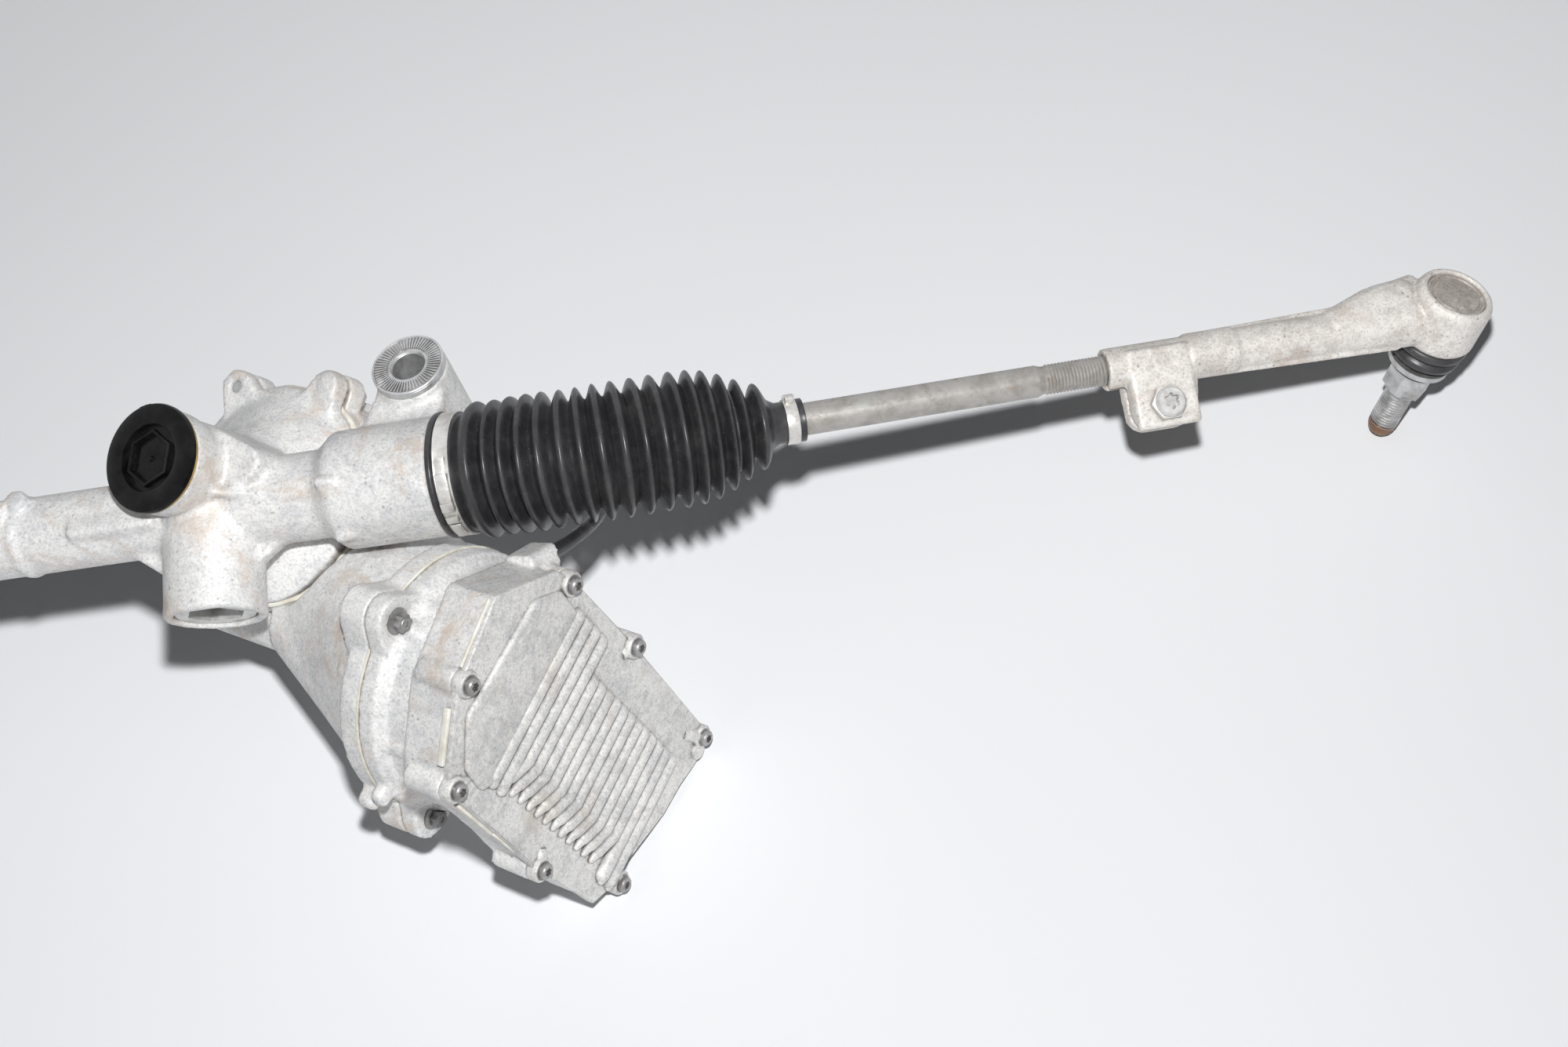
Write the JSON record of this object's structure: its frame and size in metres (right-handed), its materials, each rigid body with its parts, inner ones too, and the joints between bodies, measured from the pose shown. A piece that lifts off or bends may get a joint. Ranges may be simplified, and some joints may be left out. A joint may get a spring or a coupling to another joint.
{
  "type": "steering rack",
  "caption": "Dual-pinion power steering rack: cast housing, motor with finned controller, rubber bellows, tie rods with ball joints.",
  "frame": {"origin": "middle of the right-hand mounting bush bore", "axes": "+X along the rack towards the motor side, +Z along the mounting bolts, +Y away from the tube"},
  "size_m": [1.4628, 0.2886, 0.3243],
  "materials": {
    "cast_aluminium": "as-cast, oxidised",
    "machined_aluminium": "machined, dull",
    "forged_aluminium": "forged, pitted",
    "sealant": "matt",
    "brass_seal": "dull",
    "zinc_steel": "zinc plated",
    "circuit_board": "lacquered",
    "black_plastic": "semi-gloss",
    "white_plastic": "matt",
    "sinter_steel": "sintered",
    "spring_steel": "oiled",
    "bearing_steel": "ground",
    "motor_steel": "laminated",
    "ground_steel": "ground",
    "dull_steel": "phosphated, lightly stained",
    "stainless": "bright",
    "black_rubber": "satin"
  },
  "bodies": {
    "housing": {"rack_housing": "cast_aluminium", "gear_housing": "cast_aluminium", "gear_seal": "sealant", "motor_housing": "cast_aluminium", "ecu_frame": "machined_aluminium", "cover_gasket": "sealant", "ecu_cover": "cast_aluminium", "cover_screws": "zinc_steel", "circuit_board": "circuit_board", "pinion_cap": "black_plastic", "cap_seal": "brass_seal", "yoke": "sinter_steel", "yoke_spring": "spring_steel", "yoke_plug": "machined_aluminium", "mount_bushes": "zinc_steel", "rack_bushes": "white_plastic", "lid_bolts": "zinc_steel", "flange_bolts": "zinc_steel", "sensor_housing": "cast_aluminium", "sensor_screws": "zinc_steel", "torque_sensor": "black_plastic", "pinion_bearings": "bearing_steel", "steering_bearings": "bearing_steel", "worm_bearings": "bearing_steel", "stator": "motor_steel", "band_clamps": "stainless", "sensor_cable": "black_rubber", "cable_clip": "black_plastic", "bellows_right": "black_rubber", "bellows_left": "black_rubber"},
    "rack": {"rack_bar": "ground_steel", "inner_socket_right": "ground_steel", "inner_socket_left": "ground_steel"},
    "assist_pinion": {"drive_pinion": "ground_steel", "worm_wheel": "white_plastic"},
    "motor_worm": {"worm": "ground_steel", "rotor": "motor_steel"},
    "hand_pinion": {"steering_pinion": "ground_steel"},
    "input": {"input_shaft": "ground_steel"},
    "inner_cup_right": {"inner_liner_right": "white_plastic"},
    "tie_rod_right": {"tie_rod_right": "dull_steel", "tie_rod_end_right": "forged_aluminium", "head_cap_right": "zinc_steel", "clamp_bolt_right": "zinc_steel", "small_clamp_right": "stainless", "dust_boot_right": "black_rubber"},
    "outer_cup_right": {"outer_liner_right": "white_plastic"},
    "stud_right": {"ball_stud_right": "zinc_steel", "stud_nut_right": "zinc_steel"},
    "inner_cup_left": {"inner_liner_left": "white_plastic"},
    "tie_rod_left": {"tie_rod_left": "dull_steel", "tie_rod_end_left": "forged_aluminium", "head_cap_left": "zinc_steel", "clamp_bolt_left": "zinc_steel", "small_clamp_left": "stainless", "dust_boot_left": "black_rubber"},
    "outer_cup_left": {"outer_liner_left": "white_plastic"},
    "stud_left": {"ball_stud_left": "zinc_steel", "stud_nut_left": "zinc_steel"}
  },
  "joints": [
    {"name": "rack_slide", "type": "slide", "parent": "housing", "child": "rack", "axis": [1, 0, 0], "range_m": [-0.07, 0.07], "deforming": ["bellows_right", "bellows_left"]},
    {"name": "assist_pinion_turn", "type": "hinge", "parent": "housing", "child": "assist_pinion", "pos_m": [-0.105, -0.03524, 0.00637], "axis": [-0.2588, -0.3618, 0.8956], "range_deg": [-430.66, 430.66]},
    {"name": "hand_pinion_turn", "type": "hinge", "parent": "housing", "child": "hand_pinion", "pos_m": [-0.36, -0.03426, 0.00295], "axis": [0.1736, -0.171, 0.9698], "range_deg": [-439.08, 439.08]},
    {"name": "worm_turn", "type": "hinge", "parent": "housing", "child": "motor_worm", "pos_m": [-0.10827, -0.05353, -0.09353], "axis": [0.8754, -0.4797, 0.0592], "range_deg": [-8613.29, 8613.29]},
    {"name": "torsion_twist", "type": "hinge", "parent": "hand_pinion", "child": "input", "pos_m": [-0.36, -0.03426, 0.00295], "axis": [0.1736, -0.171, 0.9698], "range_deg": [-4.5, 4.5], "stiffness_Nm_per_rad": 60},
    {"name": "inner_droop_right", "type": "hinge", "parent": "rack", "child": "inner_cup_right", "pos_m": [0.08, -0.051, 0], "axis": [0, 0.7492, 0.6623], "range_deg": [-30.35, 1.65], "deforming": ["bellows_right"]},
    {"name": "inner_sweep_right", "type": "hinge", "parent": "inner_cup_right", "child": "tie_rod_right", "pos_m": [0.08, -0.051, 0], "axis": [0.3477, -0.621, 0.7025], "range_deg": [-18, 18], "deforming": ["bellows_right"]},
    {"name": "outer_tilt_right", "type": "hinge", "parent": "tie_rod_right", "child": "outer_cup_right", "pos_m": [0.49817, 0.05171, -0.11618], "axis": [-0.8331, -0.3387, 0.4373], "range_deg": [-18, 18], "deforming": ["dust_boot_right"]},
    {"name": "outer_swing_right", "type": "hinge", "parent": "outer_cup_right", "child": "stud_right", "pos_m": [0.49817, 0.05171, -0.11618], "axis": [0.3539, -0.934, -0.049], "range_deg": [-18, 18], "deforming": ["dust_boot_right"]},
    {"name": "inner_droop_left", "type": "hinge", "parent": "rack", "child": "inner_cup_left", "pos_m": [-0.5, -0.051, 0], "axis": [0, -0.7492, -0.6623], "range_deg": [-30.35, 1.65], "deforming": ["bellows_left"]},
    {"name": "inner_sweep_left", "type": "hinge", "parent": "inner_cup_left", "child": "tie_rod_left", "pos_m": [-0.5, -0.051, 0], "axis": [0.3477, 0.621, -0.7025], "range_deg": [-18, 18], "deforming": ["bellows_left"]},
    {"name": "outer_tilt_left", "type": "hinge", "parent": "tie_rod_left", "child": "outer_cup_left", "pos_m": [-0.91817, 0.05171, -0.11618], "axis": [-0.8331, 0.3387, -0.4373], "range_deg": [-18, 18], "deforming": ["dust_boot_left"]},
    {"name": "outer_swing_left", "type": "hinge", "parent": "outer_cup_left", "child": "stud_left", "pos_m": [-0.91817, 0.05171, -0.11618], "axis": [0.3539, 0.934, 0.049], "range_deg": [-18, 18], "deforming": ["dust_boot_left"]}
  ],
  "couplings": [
    {"joint": "assist_pinion_turn", "follows": "rack_slide", "rad_per_m": 107.33},
    {"joint": "hand_pinion_turn", "follows": "rack_slide", "rad_per_m": 109.42},
    {"joint": "worm_turn", "follows": "rack_slide", "rad_per_m": -2146.5}
  ]
}
